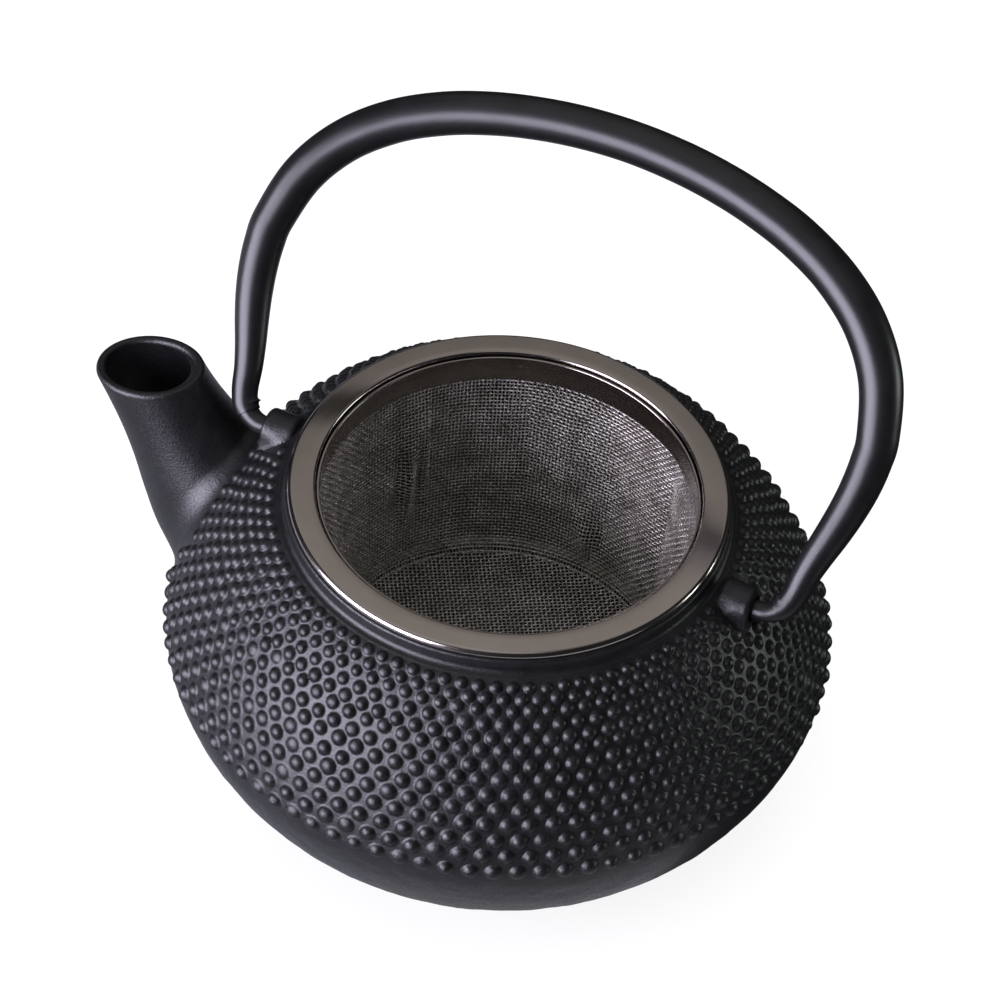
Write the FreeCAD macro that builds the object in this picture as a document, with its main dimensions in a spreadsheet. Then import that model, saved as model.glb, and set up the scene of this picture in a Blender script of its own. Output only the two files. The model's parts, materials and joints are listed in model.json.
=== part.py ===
import FreeCAD, Part
import math
import os

import Sketcher

# Small cast-iron teapot with a swinging bail handle and a lift-out mesh infuser.
# Frame: +Z up, origin at the centre of the foot, spout towards -X. The bail
# pivots on an axis along X through the two lugs. Lengths are in millimetres.

V = FreeCAD.Vector

SIZES = {
    # casting, outside
    "foot_radius": 30.5,
    "foot_rise": 1.6,
    "belly_radius": 54.2,
    "belly_height": 31.0,
    "lower_arc_radius": 38.6,
    "upper_arc_radius": 45.0,
    "neck_radius": 36.8,
    "neck_height": 58.8,
    "collar_radius": 35.9,
    "collar_height": 60.8,
    # casting, inside
    "wall": 3.0,
    "floor_height": 4.0,
    "inner_floor_radius": 26.5,
    "mouth_radius": 31.9,
    "mouth_lip_height": 57.4,
    "inner_neck_radius": 33.8,
    "inner_neck_height": 56.0,
    "enamel": 0.3,
    # spout: elliptical sections at the lip, the waist and the root
    "lip_x": -64.9,
    "lip_z": 59.3,
    "lip_half_length": 9.1,
    "lip_half_width": 7.4,
    "lip_tilt": 8.0,
    "lip_wall": 1.6,
    "waist_x": -56.6,
    "waist_z": 46.5,
    "waist_half_length": 10.2,
    "waist_half_width": 9.0,
    "waist_tilt": 19.0,
    "waist_wall": 2.6,
    "root_x": -42.5,
    "root_z": 32.5,
    "root_half_length": 14.5,
    "root_half_width": 13.6,
    "root_tilt": 48.0,
    "root_wall": 4.5,
    # lugs and hinge
    "hinge_height": 55.6,
    "lug_face": 43.2,
    "lug_start": 34.6,
    "lug_radius": 3.7,
    "lug_base_half_width": 5.2,
    "lug_base_height": 48.0,
    "pin_radius": 2.0,
    "pin_clearance": 0.08,
    "pin_inner_end": 38.0,
    "hole_bottom": 37.6,
    # bail, measured in its own plane from the hinge axis
    "bail_lean": 40.0,
    "crown_radius": 88.9,
    "shoulder_radius": 30.9,
    "shoulder_x": 22.4,
    "shoulder_rise": 28.0,
    "leg_lean": 14.0,
    "tube_radius": 3.5,
    "tube_wall": 0.9,
    "leg_end_radius": 2.4,
    "bend_radius": 5.2,
    "shank_radius": 1.5,
    "shank_length": 6.0,
    # infuser
    "rim_top": 62.0,
    "rim_outer_radius": 35.56,
    "rim_inner_radius": 31.0,
    "rim_thickness": 1.15,
    "rim_round": 0.5,
    "skirt_wall": 0.4,
    "skirt_bottom": 57.0,
    "mesh_wall": 0.3,
    "band_wall": 0.35,
    "band_top": 61.4,
    "band_bottom": 56.6,
    "basket_floor": 17.0,
    "basket_foot_radius": 29.0,
    "floor_mesh": 0.4,
    "floor_edge_gap": 0.2,
    "floor_edge_wall": 0.35,
    "floor_edge_height": 3.0,
}


def make_sheet(doc):
    sheet = doc.addObject("Spreadsheet::Sheet", "Sizes")
    for row, (alias, value) in enumerate(SIZES.items(), 1):
        sheet.set("A%d" % row, alias)
        sheet.set("B%d" % row, str(value))
        sheet.setAlias("B%d" % row, alias)
    doc.recompute()


def number(formula):
    """Value of a sum such as 'belly_radius - wall'."""
    total = 0.0
    sign = 1
    for word in formula.split():
        if word in ("+", "-"):
            sign = 1 if word == "+" else -1
        else:
            total += sign * (SIZES[word] if word in SIZES else float(word))
    return total


def from_sheet(formula):
    """The same sum as an expression on the sheet's cells."""
    return " ".join("Sizes." + word if word in SIZES else word for word in formula.split())


def origin_item(body, role):
    for item in body.Origin.OriginFeatures:
        if item.Role == role:
            return item
    raise ValueError("the body has no " + role)


def new_body(doc, label):
    body = doc.addObject("PartDesign::Body", label)
    body.Label = label
    return body


def new_sketch(body, name, role):
    sketch = body.newObject("Sketcher::SketchObject", name)
    sketch.AttachmentSupport = [(origin_item(body, role), "")]
    sketch.MapMode = "FlatFace"
    return sketch


def bind(sketch, kind, *where_and_formula):
    """Add a constraint whose value comes from the sheet."""
    where, formula = where_and_formula[:-1], where_and_formula[-1]
    index = sketch.addConstraint(Sketcher.Constraint(kind, *where, number(formula)))
    sketch.setExpression("Constraints[%d]" % index, from_sheet(formula))


def pin_point(sketch, geometry, end, across, up):
    """Hold one end of a line or arc at (across, up) from the sketch's origin."""
    for kind, axis, formula in (("DistanceX", -2, across), ("DistanceY", -1, up)):
        if number(formula) == 0:
            sketch.addConstraint(Sketcher.Constraint("PointOnObject", geometry, end, axis))
        else:
            bind(sketch, kind, -1, 1, geometry, end, formula)


def arc_between(start, end, radius):
    """Anticlockwise arc from start to end, less than half a turn."""
    middle = (start + end) * 0.5
    half = (end - start) * 0.5
    height = math.sqrt(radius ** 2 - half.Length ** 2)
    inward = V(-half.y, half.x, 0).normalize()
    centre = middle + inward * height
    first = math.atan2(start.y - centre.y, start.x - centre.x)
    last = math.atan2(end.y - centre.y, end.x - centre.x)
    if last < first:
        last += 2 * math.pi
    return Part.ArcOfCircle(Part.Circle(centre, V(0, 0, 1), radius), first, last)


def closed_outline(sketch, corners, arcs=None):
    """Closed outline through the corners; arcs gives the radius of a side by its number."""
    arcs = arcs or {}
    points = [V(number(across), number(up), 0) for across, up in corners]
    count = len(points)
    for side in range(count):
        start, end = points[side], points[(side + 1) % count]
        if side in arcs:
            sketch.addGeometry(arc_between(start, end, number(arcs[side])), False)
        else:
            sketch.addGeometry(Part.LineSegment(start, end), False)
    for side, (across, up) in enumerate(corners):
        before = (side - 1) % count
        sketch.addConstraint(Sketcher.Constraint("Coincident", before, 2, side, 1))
        pin_point(sketch, side, 1, across, up)
        if side in arcs:
            bind(sketch, "Radius", side, arcs[side])


def spin(body, kind, name, sketch):
    """Revolution or Groove of a sketch about its own upright axis."""
    feature = body.newObject("PartDesign::" + kind, name)
    feature.Profile = sketch
    feature.ReferenceAxis = (sketch, ["V_Axis"])
    feature.Angle = 360
    sketch.Visibility = False
    return feature


def lathe(body, kind, name, corners, arcs=None):
    sketch = new_sketch(body, name + "_outline", "XZ_Plane")
    closed_outline(sketch, corners, arcs)
    return spin(body, kind, name, sketch)


def rings_at(shape, radius, height):
    """Names of the circular edges about Z with this radius and height."""
    names = []
    for index, edge in enumerate(shape.Edges, 1):
        curve = edge.Curve
        if isinstance(curve, Part.Circle) and abs(curve.Radius - radius) < 0.01:
            if abs(curve.Center.z - height) < 0.01 and math.hypot(curve.Center.x, curve.Center.y) < 0.01:
                names.append("Edge%d" % index)
    return names


def round_rings(body, base, name, places, radius):
    """Fillet the rings of a feature at each (radius, height)."""
    edges = []
    for ring_radius, height in places:
        edges += rings_at(base.Shape, number(ring_radius), number(height))
    fillet = body.newObject("PartDesign::Fillet", name)
    fillet.Base = (base, edges)
    fillet.setExpression("Radius", from_sheet(radius))
    return fillet


def ellipse_sketch(body, name, across, up, tilt, half_length, half_width):
    """Ellipse about a point of the XZ plane, its plane tilted about Y."""
    sketch = new_sketch(body, name, "XY_Plane")
    place = FreeCAD.Placement(V(number(across), 0, number(up)), FreeCAD.Rotation(V(0, -1, 0), number(tilt)))
    sketch.AttachmentOffset = place
    sketch.setExpression(".AttachmentOffset.Base.x", from_sheet(across))
    sketch.setExpression(".AttachmentOffset.Base.z", from_sheet(up))
    sketch.setExpression(".AttachmentOffset.Rotation.Angle", from_sheet(tilt))
    long_end = V(number(half_length), 0, 0)
    short_end = V(0, number(half_width), 0)
    sketch.addGeometry(Part.Ellipse(long_end, short_end, V(0, 0, 0)), False)
    sketch.exposeInternalGeometry(0)
    sketch.addConstraint(Sketcher.Constraint("Coincident", 0, 3, -1, 1))
    sketch.addConstraint(Sketcher.Constraint("Horizontal", 1))
    bind(sketch, "Distance", 1, half_length + " + " + half_length)
    bind(sketch, "Distance", 2, half_width + " + " + half_width)
    return sketch


def loft(body, kind, name, sections):
    feature = body.newObject("PartDesign::" + kind, name)
    feature.Profile = sections[0]
    feature.Sections = sections[1:]
    return feature


def spout_sections(body, name, stations, inside):
    """Sections from the lip down; the inside ones are smaller by the wall there."""
    sketches = []
    for station in stations:
        less = " - " + station + "_wall" if inside else ""
        sketches.append(
            ellipse_sketch(
                body,
                name + "_" + station,
                station + "_x",
                station + "_z",
                station + "_tilt",
                station + "_half_length" + less,
                station + "_half_width" + less,
            )
        )
    return sketches


def circle_sketch(body, name, role, radius):
    sketch = new_sketch(body, name, role)
    sketch.addGeometry(Part.Circle(V(0, 0, 0), V(0, 0, 1), number(radius)), False)
    sketch.addConstraint(Sketcher.Constraint("Coincident", 0, 3, -1, 1))
    bind(sketch, "Radius", 0, radius)
    return sketch


def slide_sketch(sketch, distance):
    """Move a sketch along its own normal."""
    sketch.AttachmentOffset = FreeCAD.Placement(V(0, 0, number(distance)), FreeCAD.Rotation())
    sketch.setExpression(".AttachmentOffset.Base.z", from_sheet(distance))


def mirror_in_x(body, feature, name):
    mirrored = body.newObject("PartDesign::Mirrored", name)
    mirrored.Originals = [feature]
    mirrored.MirrorPlane = (origin_item(body, "YZ_Plane"), [""])
    body.Tip = mirrored
    return mirrored


# ---- casting ----

SPOUT_STATIONS = ("lip", "waist", "root")


def lug_outline(body):
    """Side view of a lug: an eye round the hinge on flanks that spread downwards."""
    sketch = new_sketch(body, "lug_outline", "YZ_Plane")
    radius = number("lug_radius")
    hinge = number("hinge_height")
    half_base = number("lug_base_half_width")
    base = number("lug_base_height")
    left_eye, right_eye = V(-radius, hinge, 0), V(radius, hinge, 0)
    left_base, right_base = V(-half_base, base, 0), V(half_base, base, 0)
    eye = Part.Circle(V(0, hinge, 0), V(0, 0, 1), radius)
    sketch.addGeometry(Part.ArcOfCircle(eye, 0, math.pi), False)
    for start, end in ((left_eye, left_base), (left_base, right_base), (right_base, right_eye)):
        sketch.addGeometry(Part.LineSegment(start, end), False)
    pin_point(sketch, 0, 3, "0", "hinge_height")
    bind(sketch, "Radius", 0, "lug_radius")
    for end in (1, 2):
        bind(sketch, "DistanceY", -1, 1, 0, end, "hinge_height")
    for side in range(4):
        sketch.addConstraint(Sketcher.Constraint("Coincident", side, 2, (side + 1) % 4, 1))
    pin_point(sketch, 2, 1, "0 - lug_base_half_width", "lug_base_height")
    pin_point(sketch, 2, 2, "lug_base_half_width", "lug_base_height")
    slide_sketch(sketch, "lug_start")
    return sketch


def add_lugs(body):
    lug = body.newObject("PartDesign::Pad", "lug")
    lug.Profile = lug_outline(body)
    lug.setExpression("Length", from_sheet("lug_face - lug_start"))
    mirror_in_x(body, lug, "lugs")


def drill_lugs(body):
    """Blind holes for the bail's pins, from the outer face of each lug."""
    sketch = new_sketch(body, "pin_hole_circle", "YZ_Plane")
    radius = number("pin_radius + pin_clearance")
    sketch.addGeometry(Part.Circle(V(0, number("hinge_height"), 0), V(0, 0, 1), radius), False)
    pin_point(sketch, 0, 3, "0", "hinge_height")
    bind(sketch, "Radius", 0, "pin_radius + pin_clearance")
    slide_sketch(sketch, "hole_bottom")
    hole = body.newObject("PartDesign::Pocket", "pin_hole")
    hole.Profile = sketch
    hole.Reversed = True
    hole.setExpression("Length", from_sheet("lug_face - hole_bottom + 1"))
    mirror_in_x(body, hole, "pin_holes")


CAVITY_CORNERS = [
    ("0", "floor_height"),
    ("inner_floor_radius", "floor_height"),
    ("belly_radius - wall", "belly_height"),
    ("inner_neck_radius", "inner_neck_height"),
]
CAVITY_ARCS = {1: "lower_arc_radius - wall", 2: "upper_arc_radius - wall"}


def make_pot_body(doc):
    body = new_body(doc, "pot_body")
    corners = [
        ("0", "0"),
        ("foot_radius", "0"),
        ("foot_radius", "foot_rise"),
        ("belly_radius", "belly_height"),
        ("neck_radius", "neck_height"),
        ("collar_radius", "collar_height"),
        ("0", "collar_height"),
    ]
    lathe(body, "Revolution", "casting", corners, {2: "lower_arc_radius", 3: "upper_arc_radius"})
    loft(body, "AdditiveLoft", "spout", spout_sections(body, "spout", SPOUT_STATIONS, False))
    add_lugs(body)
    mouth = [
        ("mouth_radius", "mouth_lip_height"),
        ("mouth_radius", "collar_height + 1"),
        ("0", "collar_height + 1"),
    ]
    lathe(body, "Groove", "cavity", CAVITY_CORNERS + mouth, CAVITY_ARCS)
    loft(body, "SubtractiveLoft", "spout_bore", spout_sections(body, "bore", SPOUT_STATIONS, True))
    drill_lugs(body)
    return body


def make_enamel_lining(doc):
    body = new_body(doc, "enamel_lining")
    lathe(body, "Revolution", "outside", CAVITY_CORNERS + [("0", "inner_neck_height")], CAVITY_ARCS)
    inner_corners = [
        ("0", "floor_height + enamel"),
        ("inner_floor_radius - enamel", "floor_height + enamel"),
        ("belly_radius - wall - enamel", "belly_height"),
        ("inner_neck_radius - enamel", "inner_neck_height"),
        ("inner_neck_radius - enamel", "inner_neck_height + 1"),
        ("0", "inner_neck_height + 1"),
    ]
    inner_arcs = {side: radius + " - enamel" for side, radius in CAVITY_ARCS.items()}
    lathe(body, "Groove", "inside", inner_corners, inner_arcs)
    loft(body, "SubtractiveLoft", "spout_opening", spout_sections(body, "opening", SPOUT_STATIONS, True))
    return body


# ---- bail handle, drawn upright in the XZ plane with the hinge axis at the origin ----

LEG_TOP_X = "Sizes.shoulder_x + Sizes.shoulder_radius * cos(Sizes.leg_lean)"
LEG_TOP_Z = "Sizes.shoulder_rise - Sizes.shoulder_radius * sin(Sizes.leg_lean)"
LEG_END_X = "Sizes.lug_face + Sizes.bend_radius * cos(Sizes.leg_lean)"
LEG_END_Z = "Sizes.bend_radius - Sizes.bend_radius * sin(Sizes.leg_lean)"


def on_arc(centre_x, centre_z, radius, degrees):
    angle = math.radians(degrees)
    return V(centre_x + radius * math.cos(angle), 0, centre_z + radius * math.sin(angle))


def leg_top():
    radius = number("shoulder_radius")
    return on_arc(number("shoulder_x"), number("shoulder_rise"), radius, -number("leg_lean"))


def leg_end():
    radius = number("bend_radius")
    return on_arc(number("lug_face"), radius, radius, -number("leg_lean"))


def leg_circle(body, name, place, place_x, place_z, radius):
    """Circle across the right leg, square to its lean."""
    sketch = circle_sketch(body, name, "XY_Plane", radius)
    lean = FreeCAD.Rotation(V(0, 1, 0), number("leg_lean"))
    sketch.AttachmentOffset = FreeCAD.Placement(place, lean)
    sketch.setExpression(".AttachmentOffset.Base.x", place_x)
    sketch.setExpression(".AttachmentOffset.Base.z", place_z)
    sketch.setExpression(".AttachmentOffset.Rotation.Angle", from_sheet("leg_lean"))
    return sketch


def bail_spine(body, name):
    """Right shoulder, crown and left shoulder as three tangent arcs."""
    sketch = new_sketch(body, name, "XZ_Plane")
    side_x, side_z = number("shoulder_x"), number("shoulder_rise")
    shoulder, crown = number("shoulder_radius"), number("crown_radius")
    crown_z = side_z - math.sqrt((crown - shoulder) ** 2 - side_x ** 2)
    meet = math.atan2(side_z - crown_z, side_x)
    lean = math.radians(number("leg_lean"))
    up = V(0, 0, 1)
    right = Part.Circle(V(side_x, side_z, 0), up, shoulder)
    top = Part.Circle(V(0, crown_z, 0), up, crown)
    left = Part.Circle(V(-side_x, side_z, 0), up, shoulder)
    sketch.addGeometry(Part.ArcOfCircle(right, -lean, meet), False)
    sketch.addGeometry(Part.ArcOfCircle(top, meet, math.pi - meet), False)
    sketch.addGeometry(Part.ArcOfCircle(left, math.pi - meet, math.pi + lean), False)
    sketch.addConstraint(Sketcher.Constraint("Tangent", 0, 2, 1, 1))
    sketch.addConstraint(Sketcher.Constraint("Tangent", 1, 2, 2, 1))
    pin_point(sketch, 0, 3, "shoulder_x", "shoulder_rise")
    pin_point(sketch, 2, 3, "0 - shoulder_x", "shoulder_rise")
    for arc, radius in enumerate(("shoulder_radius", "crown_radius", "shoulder_radius")):
        bind(sketch, "Radius", arc, radius)
    for arc, end in ((0, 1), (2, 2)):
        index = sketch.addConstraint(Sketcher.Constraint("DistanceY", -1, 1, arc, end, leg_top().z))
        sketch.setExpression("Constraints[%d]" % index, LEG_TOP_Z)
    return sketch


def bail_run(body, kind, name, bow_radius, end_radius):
    """Bow and both tapering legs, added (outside) or taken away (bore)."""
    top = leg_circle(body, name + "_top_circle", leg_top(), LEG_TOP_X, LEG_TOP_Z, bow_radius)
    bow = body.newObject("PartDesign::" + kind + "Pipe", name + "_bow")
    bow.Profile = top
    bow.Spine = bail_spine(body, name + "_spine")
    second = leg_circle(body, name + "_leg_circle", leg_top(), LEG_TOP_X, LEG_TOP_Z, bow_radius)
    end = leg_circle(body, name + "_end_circle", leg_end(), LEG_END_X, LEG_END_Z, end_radius)
    leg = loft(body, kind + "Loft", name + "_leg", [second, end])
    mirror_in_x(body, leg, name + "_legs")


def lean_back(doc, body, turned):
    """Put a bail piece on the hinge, leaning back; turned swaps its left and right."""
    lean = FreeCAD.Rotation(V(1, 0, 0), -number("bail_lean"))
    swap = FreeCAD.Rotation(V(0, 0, 1), 180 if turned else 0)
    doc.recompute()
    body.Placement = FreeCAD.Placement(V(0, 0, number("hinge_height")), lean * swap)


def make_bail_handle(doc):
    body = new_body(doc, "bail_handle")
    bail_run(body, "Additive", "tube", "tube_radius", "leg_end_radius")
    bail_run(body, "Subtractive", "bore", "tube_radius - tube_wall", "shank_radius")
    lean_back(doc, body, False)
    return body


def make_hook(doc, label, turned):
    """Forged end of the bail: pin in the lug, a bend, and a shank up inside the tube."""
    body = new_body(doc, label)
    circle = circle_sketch(body, "pin_circle", "YZ_Plane", "pin_radius")
    slide_sketch(circle, "pin_inner_end")
    spine = new_sketch(body, "pin_spine", "XZ_Plane")
    bend = number("bend_radius")
    face = V(number("lug_face"), 0, 0)
    turn = Part.Circle(V(face.x, bend, 0), V(0, 0, 1), bend)
    spine.addGeometry(Part.LineSegment(V(number("pin_inner_end"), 0, 0), face), False)
    spine.addGeometry(Part.ArcOfCircle(turn, -math.pi / 2, -math.radians(number("leg_lean"))), False)
    spine.addConstraint(Sketcher.Constraint("Tangent", 0, 2, 1, 1))
    pin_point(spine, 0, 1, "pin_inner_end", "0")
    pin_point(spine, 0, 2, "lug_face", "0")
    bind(spine, "Radius", 1, "bend_radius")
    index = spine.addConstraint(Sketcher.Constraint("DistanceY", -1, 1, 1, 2, leg_end().z))
    spine.setExpression("Constraints[%d]" % index, LEG_END_Z)
    pin = body.newObject("PartDesign::AdditivePipe", "pin")
    pin.Profile = circle
    pin.Spine = spine
    shank = body.newObject("PartDesign::Pad", "shank")
    shank.Profile = leg_circle(body, "shank_circle", leg_end(), LEG_END_X, LEG_END_Z, "shank_radius")
    shank.setExpression("Length", from_sheet("shank_length"))
    lean_back(doc, body, turned)
    return body


# ---- infuser ----


def make_infuser_rim(doc):
    body = new_body(doc, "infuser_rim")
    corners = [
        ("rim_inner_radius", "skirt_bottom"),
        ("rim_inner_radius + skirt_wall", "skirt_bottom"),
        ("rim_inner_radius + skirt_wall", "rim_top - rim_thickness"),
        ("rim_outer_radius", "rim_top - rim_thickness"),
        ("rim_outer_radius", "rim_top"),
        ("rim_inner_radius", "rim_top"),
    ]
    ring = lathe(body, "Revolution", "ring", corners)
    doc.recompute()
    places = [
        ("rim_outer_radius", "rim_top"),
        ("rim_outer_radius", "rim_top - rim_thickness"),
        ("rim_inner_radius", "rim_top"),
    ]
    round_rings(body, ring, "rolled_edges", places, "rim_round")
    return body


def make_clamp_band(doc):
    body = new_body(doc, "infuser_clamp_band")
    outer = "rim_inner_radius - mesh_wall"
    inner = outer + " - band_wall"
    corners = [(inner, "band_bottom"), (outer, "band_bottom"), (outer, "band_top"), (inner, "band_top")]
    lathe(body, "Revolution", "band", corners)
    return body


def make_wall_mesh(doc):
    body = new_body(doc, "infuser_wall_mesh")
    corners = [
        ("basket_foot_radius - mesh_wall", "basket_floor"),
        ("basket_foot_radius", "basket_floor"),
        ("rim_inner_radius", "band_bottom"),
        ("rim_inner_radius", "band_top"),
        ("rim_inner_radius - mesh_wall", "band_top"),
        ("rim_inner_radius - mesh_wall", "band_bottom"),
    ]
    lathe(body, "Revolution", "wall", corners)
    return body


def make_floor_mesh(doc):
    body = new_body(doc, "infuser_floor_mesh")
    inner = "basket_foot_radius + floor_edge_gap"
    outer = inner + " + floor_edge_wall"
    corners = [
        ("0", "basket_floor - floor_mesh"),
        (outer, "basket_floor - floor_mesh"),
        (outer, "basket_floor + floor_edge_height"),
        (inner, "basket_floor + floor_edge_height"),
        (inner, "basket_floor"),
        ("0", "basket_floor"),
    ]
    lathe(body, "Revolution", "floor", corners)
    return body


def check_and_export(doc, bodies):
    doc.recompute()
    for item in doc.Objects:
        if "Invalid" in item.State or "Error" in item.State:
            raise RuntimeError(item.Name + " failed: " + ", ".join(item.State))
    for body in bodies:
        if body.Shape.isNull() or not body.Shape.isValid():
            raise RuntimeError(body.Label + " has no valid shape")
        if len(body.Shape.Solids) != 1:
            raise RuntimeError(body.Label + " is not one solid")
    for body in bodies:
        body.Shape.exportStep("parts/" + body.Label + ".step")
        print(body.Label, "volume", round(body.Shape.Volume, 1))


def main():
    os.makedirs("parts", exist_ok=True)
    doc = FreeCAD.newDocument("teapot")
    make_sheet(doc)
    bodies = [
        make_pot_body(doc),
        make_enamel_lining(doc),
        make_bail_handle(doc),
        make_hook(doc, "hook_right", False),
        make_hook(doc, "hook_left", True),
        make_infuser_rim(doc),
        make_clamp_band(doc),
        make_wall_mesh(doc),
        make_floor_mesh(doc),
    ]
    check_and_export(doc, bodies)


main()
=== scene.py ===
import json
import math

import bpy
import numpy as np
from mathutils import Matrix, Vector


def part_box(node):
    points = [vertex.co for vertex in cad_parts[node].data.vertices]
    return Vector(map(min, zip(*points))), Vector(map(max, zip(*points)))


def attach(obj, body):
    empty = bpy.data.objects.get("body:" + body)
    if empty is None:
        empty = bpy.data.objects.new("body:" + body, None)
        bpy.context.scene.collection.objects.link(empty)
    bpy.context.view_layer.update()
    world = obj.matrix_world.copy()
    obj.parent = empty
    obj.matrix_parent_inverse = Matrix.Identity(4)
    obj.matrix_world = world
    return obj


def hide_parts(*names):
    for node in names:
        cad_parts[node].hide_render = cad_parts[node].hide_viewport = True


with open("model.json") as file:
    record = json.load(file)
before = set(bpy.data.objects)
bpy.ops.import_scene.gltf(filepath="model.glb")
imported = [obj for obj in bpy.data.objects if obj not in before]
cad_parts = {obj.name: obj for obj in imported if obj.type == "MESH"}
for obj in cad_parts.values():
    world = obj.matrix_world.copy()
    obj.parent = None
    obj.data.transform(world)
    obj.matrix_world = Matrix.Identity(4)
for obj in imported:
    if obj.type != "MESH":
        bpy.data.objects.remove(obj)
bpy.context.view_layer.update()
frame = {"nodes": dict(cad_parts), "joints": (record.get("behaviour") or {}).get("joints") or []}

# Small cast-iron pot with a hobnail body, a swinging bail and a lift-out mesh infuser.
# The tables below are in millimetres and degrees; everything is built in metres.
mm = 0.001
hinge = Vector(frame["joints"][0]["pos_m"])
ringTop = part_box("infuser_rim")[1].z
scene = bpy.context.scene


# small tools for building meshes

def unit(vectors):
    return vectors / np.linalg.norm(vectors, axis=-1, keepdims=True)


def softNoise(points, cell, seed):
    # smooth random field between -1 and 1 that changes over one cell
    across = 19
    lattice = np.random.default_rng(seed).uniform(-1, 1, (across, across, across))
    spot = np.asarray(points) / cell
    base = np.floor(spot).astype(int)
    part = spot - base
    part = part * part * (3 - 2 * part)
    value = np.zeros(spot.shape[:-1])
    for corner in np.ndindex(2, 2, 2):
        weight = np.ones(value.shape)
        for axis, high in enumerate(corner):
            weight = weight * (part[..., axis] if high else 1 - part[..., axis])
        i, j, k = [(base[..., axis] + corner[axis]) % across for axis in range(3)]
        value += weight * lattice[i, j, k]
    return value


def smoothPath(points, count):
    # curve through every row of the table, evenly split between rows
    rows = np.asarray(points, float)
    rows = np.vstack([2 * rows[0] - rows[1], rows, 2 * rows[-1] - rows[-2]])
    at = np.linspace(0, len(rows) - 3 - 1e-9, count)
    i = at.astype(int)
    t = (at - i)[:, None]
    a, b, c, d = rows[i], rows[i + 1], rows[i + 2], rows[i + 3]
    return 0.5 * (2 * b + (c - a) * t + (2 * a - 5 * b + 4 * c - d) * t**2 + (3 * b - a - 3 * c + d) * t**3)


def skinRings(rings, endless=False):
    # closed loops of points joined into a solid, the ends closed by fans
    rows, sides = rings.shape[:2]
    index = np.arange(rows * sides).reshape(rows, sides)
    upper = index if endless else index[:-1]
    lower = np.roll(index, -1, axis=0) if endless else index[1:]
    quads = np.stack([upper, np.roll(upper, -1, 1), np.roll(lower, -1, 1), lower], -1).reshape(-1, 4)
    points = rings.reshape(-1, 3)
    faceSets = [quads]
    if not endless:
        middles = np.stack([rings[0].mean(0), rings[-1].mean(0)])
        start, end = len(points), len(points) + 1
        first, last = index[0], index[-1]
        points = np.vstack([points, middles])
        faceSets.append(np.stack([np.full(sides, start), np.roll(first, -1), first], -1))
        faceSets.append(np.stack([np.full(sides, end), last, np.roll(last, -1)], -1))
    size = 0.0
    for faces in faceSets:
        for k in range(1, faces.shape[1] - 1):
            a, b, c = points[faces[:, 0]], points[faces[:, k]], points[faces[:, k + 1]]
            size += np.einsum("ij,ij->i", a, np.cross(b, c)).sum()
    if size < 0:
        faceSets = [faces[:, ::-1] for faces in faceSets]
    return points, faceSets


def makePiece(name, skin, finish, edgeAngle=None):
    points, faceSets = skin
    corners = np.concatenate([faces.ravel() for faces in faceSets]).astype(np.int32)
    counts = np.concatenate([np.full(len(faces), faces.shape[1]) for faces in faceSets])
    starts = np.concatenate([[0], np.cumsum(counts)[:-1]]).astype(np.int32)
    mesh = bpy.data.meshes.new(name)
    mesh.vertices.add(len(points))
    mesh.vertices.foreach_set("co", np.asarray(points, np.float32).ravel())
    mesh.loops.add(len(corners))
    mesh.loops.foreach_set("vertex_index", corners)
    mesh.polygons.add(len(starts))
    mesh.polygons.foreach_set("loop_start", starts)
    mesh.update(calc_edges=True)
    mesh.shade_smooth()
    if edgeAngle:
        mesh.set_sharp_from_angle(angle=math.radians(edgeAngle))
    mesh.materials.append(finish)
    piece = bpy.data.objects.new(name, mesh)
    scene.collection.objects.link(piece)
    return piece


def latheRings(outline, sides):
    # outline is rows of radius and height
    outline = np.asarray(outline, float)
    around = np.linspace(0, 2 * math.pi, sides, endpoint=False)
    rings = np.empty((len(outline), sides, 3))
    rings[..., 0] = outline[:, :1] * np.cos(around)
    rings[..., 1] = outline[:, :1] * np.sin(around)
    rings[..., 2] = outline[:, 1:]
    return rings


def tubeRings(path, radii, across, sides):
    # across is a steady direction that is never along the path
    along = unit(np.gradient(path, axis=0))
    side = unit(np.cross(across, along))
    other = np.cross(along, side)
    around = np.linspace(0, 2 * math.pi, sides, endpoint=False)[None, :, None]
    radii = np.broadcast_to(np.asarray(radii, float).reshape(-1, 1, 1), (len(path), 1, 1))
    return path[:, None] + radii * (np.cos(around) * side[:, None] + np.sin(around) * other[:, None])


def arcRow(centre, radius, start, end, count):
    a = np.radians(np.linspace(start, end, count))
    return np.stack([centre[0] + radius * np.cos(a), centre[1] + radius * np.sin(a)], -1)


def bulgedRow(start, end, radius, count):
    # arc from start to end that bulges away from the axis
    start, end = np.asarray(start, float), np.asarray(end, float)
    chord = end - start
    reach = math.sqrt(radius**2 - chord @ chord / 4)
    across = np.array([abs(chord[1]), -chord[0] * np.sign(chord[1])]) / math.hypot(*chord)
    centre = (start + end) / 2 - reach * across
    a, b = [math.atan2(*(p - centre)[::-1]) for p in (start, end)]
    turn = np.linspace(a, b, count)
    return centre + radius * np.stack([np.cos(turn), np.sin(turn)], -1)


# finishes

def newFinish(name, shine):
    finish = bpy.data.materials.new(name)
    finish.use_nodes = True
    nodes, links = finish.node_tree.nodes, finish.node_tree.links
    shader = nodes["Principled BSDF"]
    for socket, value in shine.items():
        shader.inputs[socket].default_value = value
    place = nodes.new("ShaderNodeTexCoord").outputs["Object"]
    return finish, nodes, links, shader, place


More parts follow.
